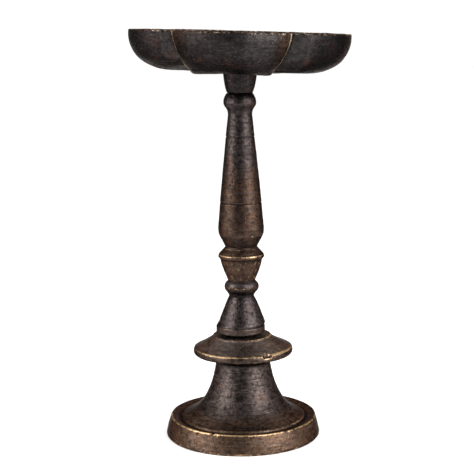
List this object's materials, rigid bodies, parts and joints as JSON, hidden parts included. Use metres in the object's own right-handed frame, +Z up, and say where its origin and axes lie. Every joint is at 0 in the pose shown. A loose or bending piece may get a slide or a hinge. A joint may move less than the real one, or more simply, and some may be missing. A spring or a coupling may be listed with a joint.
{
  "type": "standing oil lamp",
  "caption": "Cast bronze standing oil lamp: a lobed open oil bowl on a turned baluster stem, over a drip flange and a flared round foot.",
  "frame": {"origin": "on the floor under the stem's axis, which is the middle of the round foot's underside", "axes": "+Z up along the stem, -Y is the front that the picture shows, +X to the right seen from the front"},
  "size_m": [0.1271, 0.1272, 0.2412],
  "materials": {
    "bowl_bronze": "dark brown-black patina, matt and pitted, with rust-brown patches and a worn rim",
    "stem_bronze": "dark brown patina, satin, with worn brass-coloured arrises",
    "base_bronze": "dark brown patina, satin, turning marks, worn golden rim"
  },
  "bodies": {
    "root": {"bowl": "bowl_bronze", "stem": "stem_bronze", "base": "base_bronze"}
  },
  "joints": []
}
